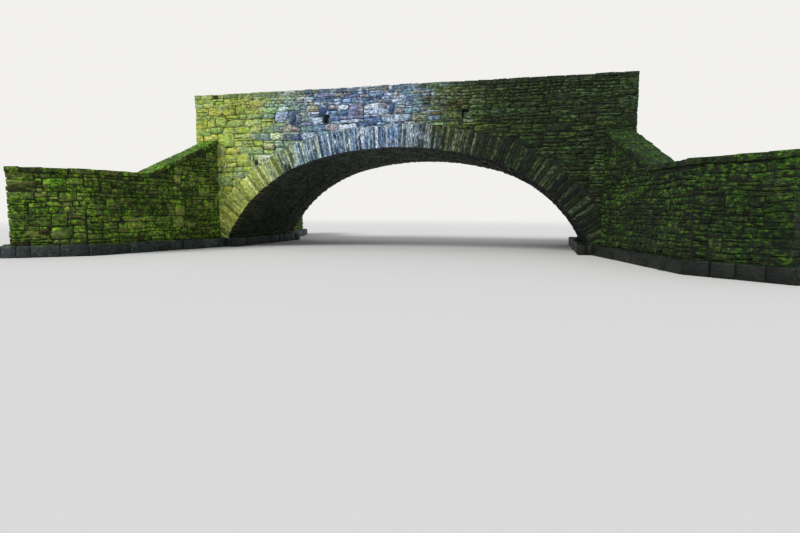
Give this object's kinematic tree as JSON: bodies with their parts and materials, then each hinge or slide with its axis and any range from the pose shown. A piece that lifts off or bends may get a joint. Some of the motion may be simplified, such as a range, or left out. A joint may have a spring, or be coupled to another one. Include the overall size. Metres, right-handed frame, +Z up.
{
  "type": "stone arch bridge",
  "caption": "Single-span stone arch road bridge with slab voussoir rings, rubble spandrels, solid parapets, road drains and flared wing walls.",
  "frame": {"origin": "on the ground under the middle of the bridge, at the centre of its underside", "axes": "+X along the road, +Y across it and away from the pictured face, +Z up"},
  "size_m": [16.6918, 14.5256, 4.48],
  "materials": {
    "footing_stone": "wet rough stone",
    "rubble_stone": "weathered rough stone",
    "vault_stone": "damp dark stone",
    "ring_stone": "weathered slate",
    "hearting": "rough rubble and mortar",
    "road_grit": "loose gravel",
    "coping_stone": "weathered slate",
    "wing_stone": "mossy rough stone"
  },
  "bodies": {
    "root": {"footing_left": "footing_stone", "footing_right": "footing_stone", "abutment_left": "rubble_stone", "abutment_right": "rubble_stone", "arch_barrel": "vault_stone", "arch_ring_front": "ring_stone", "arch_ring_back": "ring_stone", "haunch_fill_left": "hearting", "haunch_fill_right": "hearting", "roadway": "road_grit", "parapet_front": "rubble_stone", "parapet_back": "rubble_stone", "coping_front": "coping_stone", "coping_back": "coping_stone", "spandrel_front_left": "rubble_stone", "wing_footing_front_left": "footing_stone", "wing_wall_front_left": "wing_stone", "wing_coping_front_left": "coping_stone", "return_wall_front_left": "wing_stone", "return_coping_front_left": "coping_stone", "spandrel_front_right": "rubble_stone", "wing_footing_front_right": "footing_stone", "wing_wall_front_right": "wing_stone", "wing_coping_front_right": "coping_stone", "return_wall_front_right": "wing_stone", "return_coping_front_right": "coping_stone", "spandrel_back_left": "rubble_stone", "wing_footing_back_left": "footing_stone", "wing_wall_back_left": "wing_stone", "wing_coping_back_left": "coping_stone", "return_wall_back_left": "wing_stone", "return_coping_back_left": "coping_stone", "spandrel_back_right": "rubble_stone", "wing_footing_back_right": "footing_stone", "wing_wall_back_right": "wing_stone", "wing_coping_back_right": "coping_stone", "return_wall_back_right": "wing_stone", "return_coping_back_right": "coping_stone"}
  },
  "joints": []
}
